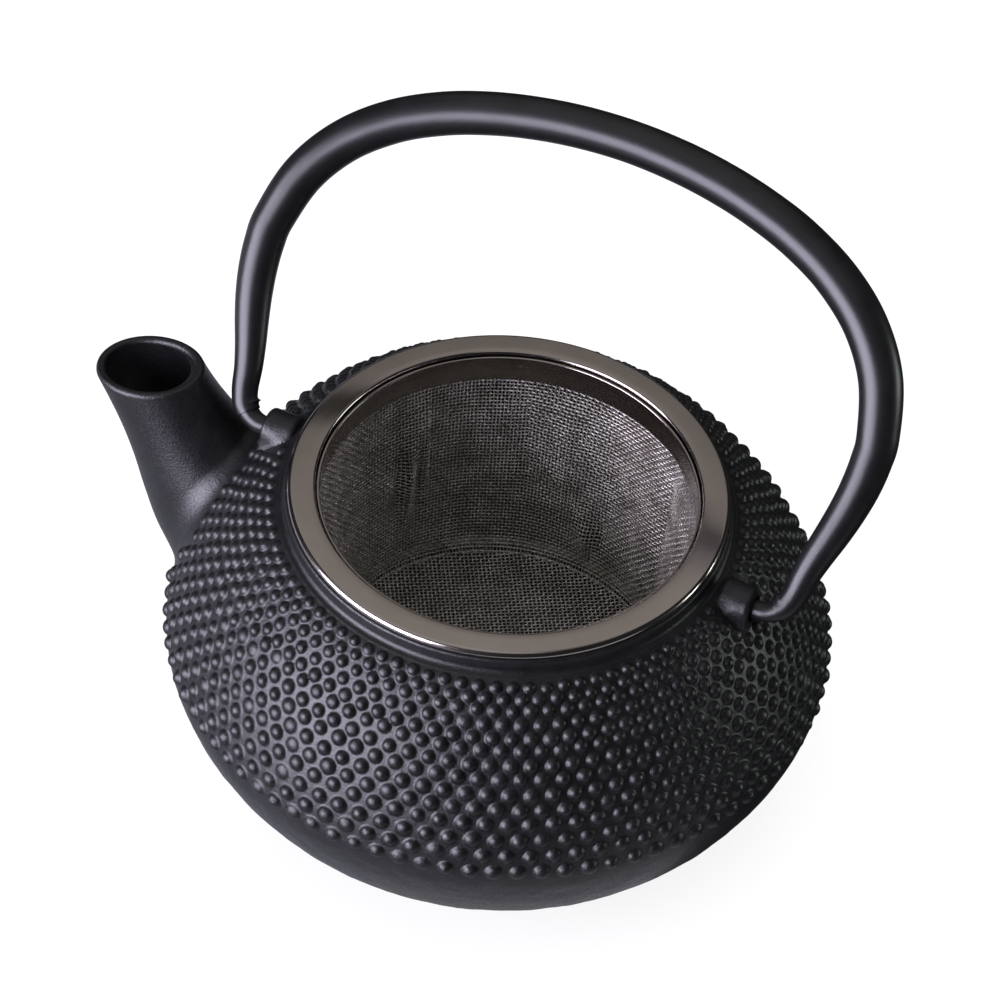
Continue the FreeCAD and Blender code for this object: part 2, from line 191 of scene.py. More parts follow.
def addNoise(nodes, links, place, scale, detail, rough=0.5):
    noise = nodes.new("ShaderNodeTexNoise")
    noise.inputs["Scale"].default_value = scale
    noise.inputs["Detail"].default_value = detail
    noise.inputs["Roughness"].default_value = rough
    links.new(place, noise.inputs["Vector"])
    return noise.outputs["Fac"]


def spread(nodes, links, value, low, high, fromLow=0.3, fromHigh=0.7):
    ranged = nodes.new("ShaderNodeMapRange")
    for socket, number in zip(("From Min", "From Max", "To Min", "To Max"), (fromLow, fromHigh, low, high)):
        ranged.inputs[socket].default_value = number
    links.new(value, ranged.inputs["Value"])
    return ranged.outputs["Result"]


def tint(nodes, links, value, dark, light, low=0.3, high=0.7):
    ramp = nodes.new("ShaderNodeValToRGB")
    ramp.color_ramp.elements[0].position = low
    ramp.color_ramp.elements[1].position = high
    ramp.color_ramp.elements[0].color = (*dark, 1)
    ramp.color_ramp.elements[1].color = (*light, 1)
    links.new(value, ramp.inputs["Fac"])
    return ramp.outputs["Color"]


def bumpOf(nodes, links, height, depth, strength, under=None):
    bump = nodes.new("ShaderNodeBump")
    bump.inputs["Distance"].default_value = depth
    bump.inputs["Strength"].default_value = strength
    links.new(height, bump.inputs["Height"])
    if under:
        links.new(under, bump.inputs["Normal"])
    return bump.outputs["Normal"]


def paintedIron(name, dark, light, gloss, grain, grainDepth, strength, skinDepth):
    finish, nodes, links, shader, place = newFinish(name, {"Specular IOR Level": 0.48})
    broad = addNoise(nodes, links, place, 260, 3)
    fine = addNoise(nodes, links, place, grain, 4, 0.6)
    pits = addNoise(nodes, links, place, grain / 3.5, 2)
    links.new(tint(nodes, links, broad, dark, light), shader.inputs["Base Color"])
    links.new(spread(nodes, links, fine, *gloss), shader.inputs["Roughness"])
    under = bumpOf(nodes, links, pits, skinDepth, strength)
    links.new(bumpOf(nodes, links, fine, grainDepth, strength, under), shader.inputs["Normal"])
    return finish


def steelFinish(name, dark, light, gloss, patch, metallic):
    finish, nodes, links, shader, place = newFinish(name, {"Metallic": metallic})
    broad = addNoise(nodes, links, place, patch, 3)
    fine = addNoise(nodes, links, place, 5200, 2)
    links.new(tint(nodes, links, broad, dark, light), shader.inputs["Base Color"])
    links.new(spread(nodes, links, fine, *gloss), shader.inputs["Roughness"])
    return finish, nodes, links, shader, place


# dark and light patches, gloss range, grain per metre, then the bump depths in metres
ironFinish = paintedIron(
    "castIronPaint", (0.0022, 0.0022, 0.0026), (0.0045, 0.0045, 0.0052), (0.27, 0.50),
    grain=2900, grainDepth=0.00010, strength=0.7, skinDepth=0.00004)
handleFinish = paintedIron(
    "handlePaint", (0.003, 0.003, 0.0034), (0.005, 0.005, 0.0057), (0.31, 0.39),
    grain=4200, grainDepth=0.00002, strength=0.5, skinDepth=0.00002)
enamelFinish = paintedIron(
    "potEnamel", (0.004, 0.0035, 0.0035), (0.009, 0.006, 0.0055), (0.14, 0.24),
    grain=700, grainDepth=0.00003, strength=0.3, skinDepth=0.00003)

ringFinish, ringNodes, ringLinks, ringShader, ringPlace = steelFinish(
    "polishedSteel", (0.46, 0.415, 0.385), (0.52, 0.47, 0.44), (0.13, 0.2), patch=90, metallic=1.0)
# faint lathe lines: height follows the distance from the axis alone
flatPlace = ringNodes.new("ShaderNodeVectorMath")
flatPlace.operation = "MULTIPLY"
flatPlace.inputs[1].default_value = (1, 1, 0)
ringLinks.new(ringPlace, flatPlace.inputs[0])
fromAxis = ringNodes.new("ShaderNodeVectorMath")
fromAxis.operation = "LENGTH"
ringLinks.new(flatPlace.outputs["Vector"], fromAxis.inputs[0])
latheLines = ringNodes.new("ShaderNodeTexNoise")
latheLines.noise_dimensions = "1D"
latheLines.inputs["Scale"].default_value = 9000
ringLinks.new(fromAxis.outputs["Value"], latheLines.inputs["W"])
latheBump = bumpOf(ringNodes, ringLinks, latheLines.outputs["Fac"], depth=0.000002, strength=0.25)
ringLinks.new(latheBump, ringShader.inputs["Normal"])

wireFinish = steelFinish(
    "wovenSteel", (0.46, 0.43, 0.39), (0.80, 0.77, 0.73), (0.17, 0.30), patch=240, metallic=0.9)[0]
print("finishes ready")


# casting: bowl with rows of small domes, spout and two lugs in one solid

bowl = {
    "bellyRadius": 55.0, "bellyHeight": 30.97, "neckRadius": 36.8, "neckHeight": 58.8,
    "upperPower": 1.36, "lowerPower": 1.60, "footRadius": 30.5, "footRise": 1.6,
    "collarRadius": 35.95, "collarTop": 60.8, "bellyRound": 0.8, "neckFillet": 1.0, "edgeRound": 0.5,
    "columns": 1440, "domeRowStep": 0.215, "plainRowStep": 0.55, "domeEnd": 35.2,
    "reliefDepth": 0.6, "roughness": 0.05, "footRound": 0.4,
    "plainFrom": 33.0, "plainOver": 4, "plainLift": 0.25,
    # radius and height under the foot: the ring it stands on and a shallow recess inside it
    "underFoot": [(26.6, 0.0), (26.0, 0.25), (25.6, 0.6), (25.0, 0.7), (14.0, 0.7), (5.0, 0.7)],
}
domes = {
    "perRow": 90, "widthOfPitch": 0.355, "heightOfRadius": 0.60, "flatness": 0.72,
    "rows": [2.0, 3.95, 5.8, 8.06, 10.3, 12.2, 14.7, 17.0, 19.6, 22.1, 24.6, 27.5, 30.3, 33.3],
    "seed": 11, "sizeSpread": 0.05, "heightSpread": 0.12, "stray": 0.06, "chipped": 0.015, "chipLeaves": 0.6,
    "unrollRadius": 50, "lugGap": 0.6, "lugTop": 49,
}


def bowlOutline():
    # from the neck down to the foot, even steps along the surface
    b = bowl
    t = np.linspace(math.pi / 2, 0, 900)
    upper = np.stack([
        b["neckRadius"] + (b["bellyRadius"] - b["neckRadius"]) * np.cos(t) ** (2 / b["upperPower"]),
        b["bellyHeight"] + (b["neckHeight"] - b["bellyHeight"]) * np.sin(t) ** (2 / b["upperPower"])], -1)
    t = np.linspace(0, math.pi / 2, 900)[1:]
    lower = np.stack([
        b["footRadius"] + (b["bellyRadius"] - b["footRadius"]) * np.cos(t) ** (2 / b["lowerPower"]),
        b["bellyHeight"] - (b["bellyHeight"] - b["footRise"]) * np.sin(t) ** (2 / b["lowerPower"])], -1)
    rows = np.vstack([upper, lower])
    run = np.concatenate([[0], np.cumsum(np.hypot(*np.diff(rows, axis=0).T))])
    step = 0.1
    even = np.arange(0, run[-1], step)
    rows = np.stack([np.interp(even, run, rows[:, k]) for k in range(2)], -1)
    reach = int(4 * b["bellyRound"] / step)
    bell = np.exp(-0.5 * (np.arange(-reach, reach + 1) * step / b["bellyRound"]) ** 2)
    padded = np.vstack([2 * rows[0] - rows[reach:0:-1], rows, 2 * rows[-1] - rows[-2:-reach - 2:-1]])
    rows = np.stack([np.convolve(padded[:, k], bell / bell.sum(), "valid") for k in range(2)], -1)
    tangent = unit(np.gradient(rows, axis=0))
    normal = np.stack([-tangent[:, 1], tangent[:, 0]], -1)
    return even, rows, normal


runs, crest, crestNormal = bowlOutline()
ground = crest - bowl["reliefDepth"] * crestNormal  # the surface between the domes


def aboveGround(points):
    # signed distance to the bowl, and which step of the outline is nearest (mm)
    radius = np.hypot(points[..., 0], points[..., 1])
    coarse = ground[::3]
    gap = (radius[..., None] - coarse[:, 0]) ** 2 + (points[..., 2, None] - coarse[:, 1]) ** 2
    nearest = 3 * np.argmin(gap, -1)
    out = (radius - ground[nearest, 0]) * crestNormal[nearest, 0]
    up = (points[..., 2] - ground[nearest, 1]) * crestNormal[nearest, 1]
    return out + up, nearest


def ontoGround(points, lift=0.0):
    azimuth = np.arctan2(points[..., 1], points[..., 0])
    nearest = aboveGround(points)[1]
    flat = ground[nearest] + lift * crestNormal[nearest]
    return np.stack([flat[..., 0] * np.cos(azimuth), flat[..., 0] * np.sin(azimuth), flat[..., 1]], -1)


def groundNormal(points):
    azimuth = np.arctan2(points[..., 1], points[..., 0])
    flat = crestNormal[aboveGround(points)[1]]
    return np.stack([flat[..., 0] * np.cos(azimuth), flat[..., 0] * np.sin(azimuth), flat[..., 1]], -1)


spout = {
    # x, height, half length, half width, tilt; from the lip down to the root
    "stations": [
        (-64.9, 59.6, 9.4, 7.5, 8.0), (-62.4, 55.4, 9.2, 7.9, 11.0), (-59.7, 51.1, 9.4, 8.5, 14.6),
        (-56.7, 46.5, 10.3, 9.4, 18.8), (-53.0, 41.4, 12.3, 10.6, 24.0), (-48.6, 36.6, 14.7, 12.0, 32.0),
        (-42.5, 32.0, 16.4, 13.8, 46.0)],
    "bore": [(-66.2, 68.0, 7.3, 5.8, 8.0), (-65.1, 59.3, 7.3, 5.8, 8.0), (-60.4, 52.2, 7.4, 6.1, 13.5),
             (-56.6, 46.5, 7.6, 6.4, 19.0), (-50.2, 39.0, 8.6, 7.6, 33.0), (-42.5, 32.5, 10.0, 9.1, 48.0),
             (-36.0, 28.5, 10.0, 9.1, 60.0)],
    "lipRound": 0.85, "lipStep": 12, "sides": 144, "leaveInner": 2.6, "leaveSide": 4.2, "leaveOuter": 5.5,
    "landInner": 2.6, "landSide": 3.6, "landOuter": 6.0,
    "buried": [(0.9, -0.22), (1.4, -1.2), (0.0, -2.6)], "hubLift": -4.0,
}


def spoutRings(stations, count, sides):
    rows = smoothPath(stations, count)
    around = np.linspace(0, 2 * math.pi, sides, endpoint=False)
    tilt = np.radians(rows[:, 4:5])
    reach = rows[:, 2:3] * np.cos(around)
    rings = np.empty((count, sides, 3))
    rings[..., 0] = rows[:, :1] + reach * np.cos(tilt)
    rings[..., 1] = rows[:, 3:4] * np.sin(around)
    rings[..., 2] = rows[:, 1:2] + reach * np.sin(tilt)
    return rings


def makeSpout():
    s = spout
    sides = s["sides"]
    dense = spoutRings(s["stations"], 400, sides)
    away = aboveGround(dense)[0]
    around = np.linspace(0, 2 * math.pi, sides, endpoint=False)
    inner = np.clip(np.cos(around), 0, 1) ** 2
    outer = np.clip(-np.cos(around), 0, 1) ** 2
    side = 1 - inner - outer
    leave = s["leaveInner"] * inner + s["leaveSide"] * side + s["leaveOuter"] * outer
    land = s["landInner"] * inner + s["landSide"] * side + s["landOuter"] * outer

    def firstBelow(level):
        at = np.empty(sides)
        for k in range(sides):
            below = np.nonzero(away[:, k] < level[k])[0]
            i = below[0] if len(below) else len(away) - 1
            drop = away[i - 1, k] - away[i, k]
            at[k] = i - 1 + np.clip((away[i - 1, k] - level[k]) / max(drop, 1e-6), 0, 1)
        return np.convolve(np.r_[at[-4:], at, at[:4]], np.ones(9) / 9, "valid")

    def pick(at):
        i = np.clip(at.astype(int), 0, len(dense) - 2)
        part = (at - i)[:, None]
        column = np.arange(sides)
        return dense[i, column] * (1 - part) + dense[i + 1, column] * part

    leaveAt, crossAt = firstBelow(leave), firstBelow(np.zeros(sides))
    start, cross = pick(leaveAt), pick(crossAt)
    heading = unit(pick(leaveAt + 2) - pick(leaveAt - 2))
    centre = np.stack([dense.mean(1)[np.round(crossAt).astype(int), k] for k in range(3)], -1)
    normal = groundNormal(cross)
    outward = cross - centre
    outward = unit(outward - np.sum(outward * normal, -1, keepdims=True) * normal)
    landing = ontoGround(cross + outward * land[:, None])
    landNormal = groundNormal(landing)
    outward = unit(outward - np.sum(outward * landNormal, -1, keepdims=True) * landNormal)
    stretch = np.linalg.norm(landing - start, axis=-1, keepdims=True)
    # rounded lip first, then the tube, then the sweep out onto the bowl
    rows = []
    first = s["lipStep"]
    middle = dense[first].mean(0)
    lipUp = np.cross(unit(dense[first, 0] - middle), unit(dense[first, sides // 4] - middle))
    radial = unit(dense[first] - middle)
    lipRows = np.array([
        dense[first] + s["lipRound"] * (lipUp * math.sin(a) - radial * (1 - math.cos(a)))
        for a in np.radians(np.linspace(180, 0, 15))])
    for part in np.linspace(0, 1, 70)[1:]:
        rows.append(pick(first + (leaveAt - first) * part))
    for t in np.linspace(0, 1, 22)[1:]:
        h1, h2 = 2 * t**3 - 3 * t**2 + 1, t**3 - 2 * t**2 + t
        h3, h4 = -2 * t**3 + 3 * t**2, t**3 - t**2
        rows.append(h1 * start + h2 * heading * stretch + h3 * landing + h4 * outward * stretch)
    # the rest lies inside the bowl's wall and closes the shape
    for outwards, lift in s["buried"]:
        rows.append(ontoGround(landing + outward * outwards, lift))
    hub = ontoGround(landing.mean(0)[None], s["hubLift"])[0]
    rows.append(hub + (rows[-1] - hub) * 0.2)
    rings = np.concatenate([lipRows, np.array(rows)])
    return skinRings(rings * mm), landing


lug = {"start": 37.6, "face": 43.1, "eyeRadius": 3.5, "baseHalf": 4.2, "baseHeight": 46.5, "edge": 0.8,
       "flare": 0.4, "flareReach": 0.8, "holeRadius": 2.3, "holeBottom": 39.4, "lumps": 0.1}


def makeLug(side):
    g = lug
    hingeHeight = hinge.z / mm
    eye, half, foot, edge = g["eyeRadius"], g["baseHalf"], g["baseHeight"], g["edge"]
    # seen along the hinge: straight sides that meet a round eye
    outline = [(half, foot)]
    tall = hingeHeight - foot
    outline += [(half + (eye - half) * t, foot + tall * t) for t in np.linspace(0, 1, 26)[1:-1]]
    turn = np.radians(np.linspace(0, 180, 25))
    outline += [(eye * math.cos(a), hingeHeight + eye * math.sin(a)) for a in turn]
    outline += [(-y, z) for y, z in outline[1:25][::-1]]
    outline.append((-half, foot))
    outline += [(y, foot) for y in np.linspace(-half, half, 10)[1:-1]]
    outline = np.array(outline)
    # along the hinge: distance out, and how far the rounded edge draws the outline in
    bend = np.radians(np.linspace(80, 0, 7)[:-1])
    places = [(g["start"], edge + 0.5)]
    places += [(g["start"] + edge * (1 - math.sin(a)), edge * (1 - math.cos(a))) for a in bend]
    places += [(x, 0) for x in np.linspace(g["start"] + edge, g["face"] - edge, 26)]
    places += [(g["face"] - edge + edge * math.sin(a), edge * (1 - math.cos(a))) for a in bend[::-1]]
    places += [(g["face"], edge + 0.5)]
    shoulder = ground[:330]
    middle = (g["start"] + g["face"]) / 2
    rings = []
    for x, inset in places:
        y, z = outline[:, 0].copy(), outline[:, 1]
        floor = np.interp(np.hypot(x, y), shoulder[:, 0], shoulder[:, 1])
        fillet = g["flare"] * np.exp(-np.clip(z - floor, 0, None) / g["flareReach"])
        y += np.sign(y) * fillet * (np.abs(y) > 3)
        away = np.stack([y, z - hingeHeight], -1)
        away *= 1 - inset / np.linalg.norm(away, axis=-1, keepdims=True)
        flareOut = 0.9 * fillet * (inset > 0) * (1 if x > middle else -1)
        rings.append(np.stack([x + flareOut, away[:, 0], hingeHeight + away[:, 1]], -1))
    rings = np.array(rings)
    rings[..., 0] += g["lumps"] * 0.4 * softNoise(rings, 2.0, 5)
    rings[..., 1] += g["lumps"] * softNoise(rings, 1.7, 6)
    rings[..., 0] *= side
    return skinRings(rings * mm)


def domeField(run, landing):
    # relief height over the ground for each row and column, in mm
    d = domes
    rng = np.random.default_rng(d["seed"])
    columns = bowl["columns"]
    azimuth = np.arange(columns) * 2 * math.pi / columns
    field = np.zeros((len(run), columns))
    loopAzimuth = (np.arctan2(landing[:, 1], landing[:, 0]) % (2 * math.pi)) - math.pi
    loopRun = runs[aboveGround(landing)[1]]
    loopX, loopY = loopAzimuth * d["unrollRadius"], loopRun
    hubY = (loopY.min() + loopY.max()) / 2
    loopTurn = np.arctan2(loopY - hubY, loopX)
    order = np.argsort(loopTurn)
    loopTurn, loopReach = loopTurn[order], np.hypot(loopX, loopY - hubY)[order]
    for number, rowRun in enumerate(d["rows"]):
        radius = np.interp(rowRun, runs, ground[:, 0])
        height = np.interp(rowRun, runs, ground[:, 1])
        pitch = 2 * math.pi / d["perRow"]
        shift = 0.5 * (number % 2)
        size = d["widthOfPitch"] * pitch * radius
        wobble = rng.normal(size=(4, d["perRow"]))
        chip = rng.random(d["perRow"]) < d["chipped"]
        tall = np.where(chip, d["chipLeaves"], 1 + d["heightSpread"] * wobble[0])
        lift = size * d["heightOfRadius"] * tall
        width = size * (1 + d["sizeSpread"] * wobble[1])
        at = (np.arange(d["perRow"]) + shift) * pitch
        # no domes under the spout's sweep or under a lug
        turn = (at % (2 * math.pi)) - math.pi
        unrolled = turn * d["unrollRadius"]
        reach = np.interp(np.arctan2(rowRun - hubY, unrolled), loopTurn, loopReach, period=2 * math.pi)
        lift[np.hypot(unrolled, rowRun - hubY) < reach + 0.2 * size] = 0
        x, y = radius * np.cos(at), radius * np.sin(at)
        underLug = (np.abs(x) < lug["face"] + d["lugGap"]) & (np.abs(y) < lug["baseHalf"] + d["lugGap"] / 3)
        lift[underLug & (height > d["lugTop"])] = 0
        which = np.round(azimuth / pitch - shift).astype(int)
        offset = azimuth - (which + shift) * pitch
        which %= d["perRow"]
        aside = offset * radius + d["stray"] * wobble[2][which]
        for r in np.nonzero(np.abs(run - rowRun) < size * 1.4)[0]:
            down = run[r] - rowRun + d["stray"] * wobble[3][which]
            gap = (aside**2 + down**2) / width[which] ** 2
            dome = np.clip(1 - gap, 0, None) ** d["flatness"] * lift[which]
            field[r] = np.maximum(field[r], dome)
    return field


def makeBowl(landing):
    b = bowl
    top = b["collarTop"]
    collar = b["collarRadius"]
    head = [(12.0, top), (25.0, top), (34.0, top)]
    head += list(arcRow((collar - b["edgeRound"], top - b["edgeRound"]), b["edgeRound"], 90, 0, 6))
    neckCentre = (collar + b["neckFillet"] + 0.05, b["neckHeight"] - b["reliefDepth"] + b["neckFillet"])
    head += list(arcRow(neckCentre, b["neckFillet"], 180, 268, 10))
    domeRuns = np.arange(0.7, b["domeEnd"], b["domeRowStep"])
    plainRuns = np.arange(b["domeEnd"], runs[-1] - 0.3, b["plainRowStep"])
    run = np.concatenate([domeRuns, plainRuns])
    flat = np.stack([np.interp(run, runs, ground[:, k]) for k in range(2)], -1)
    normal = unit(np.stack([np.interp(run, runs, crestNormal[:, k]) for k in range(2)], -1))
    columns = b["columns"]
    around = np.arange(columns) * 2 * math.pi / columns
    body = latheRings(flat, columns)
    out = np.empty_like(body)
    out[..., 0] = normal[:, :1] * np.cos(around)
    out[..., 1] = normal[:, :1] * np.sin(around)
    out[..., 2] = normal[:, 1:]
    relief = domeField(run, landing)
    plain = np.clip((run - b["plainFrom"]) / b["plainOver"], 0, 1)[:, None]
    lumps = softNoise(body, 3.1, 3) + 0.5 * softNoise(body, 1.1, 4)
    relief += b["roughness"] * lumps * (0.35 + 1.2 * plain) + b["plainLift"] * plain
    body += out * relief[..., None]
    foot, footRound = b["footRadius"], b["footRound"]
    tail = list(arcRow((foot - footRound, footRound), footRound, 0, -90, 5)) + b["underFoot"]
    rings = np.concatenate([latheRings(head, columns), body, latheRings(tail, columns)])
    return skinRings(rings * mm)


def makeCavity():
    # same hollow as the CAD casting: floor, two arcs, neck and mouth
    rows = [(6.0, 4.0), (18.0, 4.0)]
    rows += list(bulgedRow((26.5, 4.0), (51.2, 31.0), 35.6, 40))
    rows += list(bulgedRow((51.2, 31.0), (33.8, 56.0), 42.0, 40))[1:]
    rows += [(31.9, 57.4), (31.9, 60.3), (32.3, 60.85), (32.3, 64.0), (12.0, 64.0)]
    return skinRings(latheRings(rows, 256) * mm)


def makePinHole(side):
    g = lug
    path = np.array([[x, 0, hinge.z / mm] for x in np.linspace(g["holeBottom"], g["face"] + 2, 6)])
    path[:, 0] *= side
    return skinRings(tubeRings(path, g["holeRadius"], (0, 0, 1), 48) * mm)


def combine(piece, tools):
    for how, tool in tools:
        step = piece.modifiers.new(how.lower(), "BOOLEAN")
        step.operation = how
        step.solver = "MANIFOLD"
        step.object = tool
    shape = piece.evaluated_get(bpy.context.evaluated_depsgraph_get())
    done = bpy.data.meshes.new_from_object(shape)
    piece.modifiers.clear()
    piece.data = done
    for how, tool in tools:
        bpy.data.objects.remove(tool)
    done.shade_smooth()
    done.set_sharp_from_angle(angle=math.radians(60))


spoutSkin, spoutLanding = makeSpout()
castPot = makePiece("castPot", makeBowl(spoutLanding), ironFinish)
tools = [("UNION", makePiece("spoutTool", spoutSkin, ironFinish))]
for side in (-1, 1):
    tools.append(("UNION", makePiece("lugTool", makeLug(side), ironFinish)))
tools.append(("DIFFERENCE", makePiece("cavityTool", makeCavity(), ironFinish)))
boreRings = spoutRings(spout["bore"], 90, 96)
tools.append(("DIFFERENCE", makePiece("boreTool", skinRings(boreRings * mm), ironFinish)))
for side in (-1, 1):
    tools.append(("DIFFERENCE", makePiece("holeTool", makePinHole(side), ironFinish)))
combine(castPot, tools)
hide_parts("pot_body")
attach(castPot, "pot")
print("casting:", len(castPot.data.polygons), "faces")

enamel = frame["nodes"]["enamel_lining"]
enamel.data.materials.clear()
enamel.data.materials.append(enamelFinish)
enamel.data.shade_smooth()
enamel.data.set_sharp_from_angle(angle=math.radians(35))


# bail: one tapered tube, and a forged hook in each end

bail = {
    # half of the centreline: x, height above the ring's plane, tube radius
    "line": [
        (0, 56.95, 3.44), (7.73, 56.61, 3.46), (15.5, 55.59, 3.48), (23.35, 53.85, 3.52),
        (31.24, 51.19, 3.56), (38.85, 47.26, 3.59), (45.56, 41.74, 3.59), (50.49, 34.57, 3.55),
        (52.98, 26.23, 3.42), (53.26, 21.86, 3.32), (52.96, 17.53, 3.2), (52.23, 13.32, 3.03),
        (51.24, 9.29, 2.83), (50.18, 5.46, 2.59), (49.3, 1.78, 2.36), (48.75, -1.6, 2.2),
        (47.95, -3.95, 2.1), (46.9, -5.2, 2.02)],
    "lean": 40, "sides": 56, "endRound": 0.05, "burr": 0.8,
    "hookRadius": 1.98, "pinEnd": 39.8, "bendRadius": 4.9, "bendStart": 48.55, "hookLean": 9.0,
    "wobble": 0.03, "burrAt": 1.4, "burrLength": 0.6,
}


def onBail(x, height):
    # from the bail's own plane to the pot's frame; height is above the hinge
    lean = math.radians(bail["lean"])
    x, height = np.asarray(x, float), np.asarray(height, float)
    return np.stack([x, height * math.sin(lean), hinge.z / mm + height * math.cos(lean)], -1)


drop = (ringTop - hinge.z) / mm
half = np.array(bail["line"])
line = np.vstack([half[:0:-1] * [-1, 1, 1], half])
bailRow = smoothPath(line, 420)
bailPath = onBail(bailRow[:, 0], bailRow[:, 1] + drop)
bailSquare = np.cross(onBail(1, 0) - onBail(0, 0), onBail(0, 1) - onBail(0, 0))
bailRings = tubeRings(bailPath, bailRow[:, 2], bailSquare, bail["sides"])
bailOut = unit(bailRings - bailPath[:, None])
bailRings += bail["wobble"] * bailOut * softNoise(bailRings, 6.0, 21)[..., None]
# a small burr of paint on the inner side of each bend
for end in (0, -1):
    inner = onBail(0, 30) - bailPath[end]
    facing = np.clip(bailOut @ unit(inner), 0, 1) ** 4
    near = np.linalg.norm(bailPath - bailPath[end], axis=-1)[:, None]
    ridge = facing * np.exp(-((near - bail["burrAt"]) / bail["burrLength"]) ** 2)
    bailRings += bail["burr"] * bailOut * ridge[..., None]


def roundedEnd(end, second):
    centre = bailPath[end]
    inward = unit(bailPath[second] - centre)
    turn = np.radians((90, 60, 30))[:, None, None]
    shrink = 1 - bail["endRound"] * (1 - np.cos(turn)) / bailRow[end, 2]
    return centre + (bailRings[end] - centre) * shrink - inward * bail["endRound"] * np.sin(turn)


bailRings = np.concatenate([roundedEnd(0, 2), bailRings, roundedEnd(-1, -3)[::-1]])
bailTube = makePiece("bailTube", skinRings(bailRings * mm), handleFinish, 50)
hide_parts("bail_handle")
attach(bailTube, "bail")


def makeHook(side):
    b = bail
    lean = math.radians(b["hookLean"])
    bend = b["bendRadius"]
    centreX, centreH = b["bendStart"] - bend * math.cos(lean), bend
    shank = [(b["bendStart"] + s * math.sin(lean), bend * (1 - math.sin(lean)) + s * math.cos(lean))
             for s in (6, 4.5, 3, 1.5, 0.6)]
    turn = np.radians(np.linspace(-b["hookLean"], -90, 22))
    curve = [(centreX + bend * math.cos(a), centreH + bend * math.sin(a)) for a in turn]
    pin = [(x, 0.0) for x in np.linspace(centreX - 0.7, b["pinEnd"], 8)]
    rows = np.array(shank + curve + pin)
    path = onBail(rows[:, 0] * side, rows[:, 1])
    radii = np.interp(np.arange(len(path)), [0, 4, 5, 20, 30], [1.5, 1.5, b["hookRadius"], 1.68, 1.55])
    rings = tubeRings(path, radii, bailSquare, 40)
    rings += 0.05 * unit(rings - path[:, None]) * softNoise(rings, 2.4, 31)[..., None]
    tip = [path[-1] + (rings[-1] - path[-1]) * shrink - np.array([side * out, 0, 0])
           for shrink, out in ((0.93, 0.18), (0.78, 0.3))]
    return skinRings(np.concatenate([rings, np.array(tip)]) * mm)


for label, side in (("Left", -1), ("Right", 1)):
    hook = makePiece("bailHook" + label, makeHook(side), handleFinish, 50)
    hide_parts("hook_" + label.lower())
    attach(hook, "bail")
print("bail ready")


# infuser: rolled rim with a skirt, a clamp band inside it, woven wall and floor

rim = {
    "inner": 31.0, "outer": 35.56, "skirtWall": 0.4, "skirtBottom": 57.0, "thick": 1.1,
    "innerRound": 0.45, "rollRadius": 0.8, "sides": 360,
    "bandOuter": 30.7, "bandInner": 30.35, "bandTop": 61.3, "bandBottom": 56.6, "bandRound": 0.15,
}


def makeRim():
    r = rim
    top = ringTop / mm
    inner, outer, innerRound, roll = r["inner"], r["outer"], r["innerRound"], r["rollRadius"]
    under, skirt = top - r["thick"], r["inner"] + r["skirtWall"]
    outline = [(inner, r["skirtBottom"]), (inner, 59.0), (inner, top - 1.0)]
    outline += list(arcRow((inner + innerRound, top - innerRound), innerRound, 180, 90, 10))
    outline += [(32.6, top), (33.8, top - 0.01)]
    outline += list(arcRow((outer - roll, top - roll - 0.03), roll, 90, 0, 14))
    outline += [(outer - 0.05, under), (outer - 0.35, under - 0.03), (outer - 0.45, under + 0.2)]
    outline += [(33.0, under + 0.25), (skirt + 0.3, under + 0.2), (skirt, under - 0.1)]
    outline.append((skirt, r["skirtBottom"]))
    return skinRings(latheRings(outline, r["sides"]) * mm, endless=True)


rimPiece = makePiece("infuserRim", makeRim(), ringFinish, 40)
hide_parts("infuser_rim")
bandRound = rim["bandRound"]
bandRow = [(rim["bandInner"], rim["bandBottom"]), (rim["bandInner"], 59)]
bandRow += list(arcRow((rim["bandInner"] + bandRound, rim["bandTop"] - bandRound), bandRound, 180, 90, 5))
bandRow += [(rim["bandOuter"], rim["bandTop"]), (rim["bandOuter"], rim["bandBottom"])]
bandSkin = skinRings(latheRings(bandRow, rim["sides"]) * mm, endless=True)
bandPiece = makePiece("infuserBand", bandSkin, ringFinish, 40)
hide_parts("infuser_clamp_band")
for piece in (rimPiece, bandPiece):
    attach(piece, "infuser")

weave = {
    "uprights": 304, "roundStep": 0.74, "wire": 0.125, "top": 57.6, "bottom": 16.95, "footRadius": 28.72,
    "topRadius": 30.82, "floorStep": 0.7, "floorRadius": 28.9, "floorHeight": 16.8, "floorTurn": 31,
    "edgeRadius": 29.37, "edgeBottom": 16.75, "edgeTop": 20.0, "lapAzimuth": 139.0, "lapStep": 0.8,
    "swingOfWire": 0.92, "uprightThick": 0.88, "hoopThick": 1.12,
}
# azimuth, height, reach sideways, reach up and down, push (+ is outwards)
dents = [
    (146.5, 36, 2.0, 6, -1.7), (142.5, 36, 1.3, 6, 0.8), (150.5, 35, 1.6, 7, 0.6),
    (107.0, 45, 3.0, 14, 0.5), (93.0, 43, 7.0, 15, -0.9), (118.0, 40, 7.0, 16, -0.35),
    (77.0, 42, 6.0, 16, 0.4), (84.0, 25, 4.0, 3, -1.1), (79.0, 27, 3.0, 3, 0.8),
    (60.0, 34, 5.0, 8, -0.5), (51.0, 45, 3.0, 17, 0.7), (38.0, 42, 7.0, 18, -1.1),
    (22.0, 38, 6.0, 12, 0.5), (5.0, 36, 6.0, 12, -0.6), (350.0, 30, 6.0, 10, 0.5),
    (170.0, 38, 6.0, 14, 0.5), (183.0, 40, 5.0, 16, -0.5), (215.0, 35, 9.0, 12, -0.4),
    (250.0, 34, 7.0, 12, 0.5), (300.0, 36, 8.0, 12, -0.5),
]


